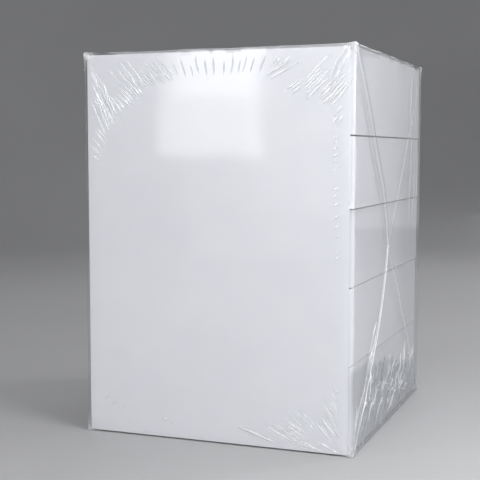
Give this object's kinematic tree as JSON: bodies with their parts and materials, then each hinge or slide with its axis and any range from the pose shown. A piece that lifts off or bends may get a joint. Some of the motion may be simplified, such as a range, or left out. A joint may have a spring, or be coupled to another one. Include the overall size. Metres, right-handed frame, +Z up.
{
  "type": "shrink-wrapped stack of paper reams",
  "caption": "Upright stack of white wrapped paper reams behind a plain card, sealed in clear shrink film.",
  "frame": {"origin": "centre of the base, where the film rests on the surface under it", "axes": "+Z up through the stack; the card faces -Y and the reams' bare strip is at the +X end of the front"},
  "size_m": [0.216, 0.2364, 0.2969],
  "materials": {
    "paper": "smooth white ream wrapper",
    "card": "smooth coated white card",
    "film": "clear glossy polyethylene shrink film"
  },
  "bodies": {
    "root": {"ream_1": "paper", "ream_2": "paper", "ream_3": "paper", "ream_4": "paper", "ream_5": "paper", "front_card": "card", "shrink_film": "film"}
  },
  "joints": []
}
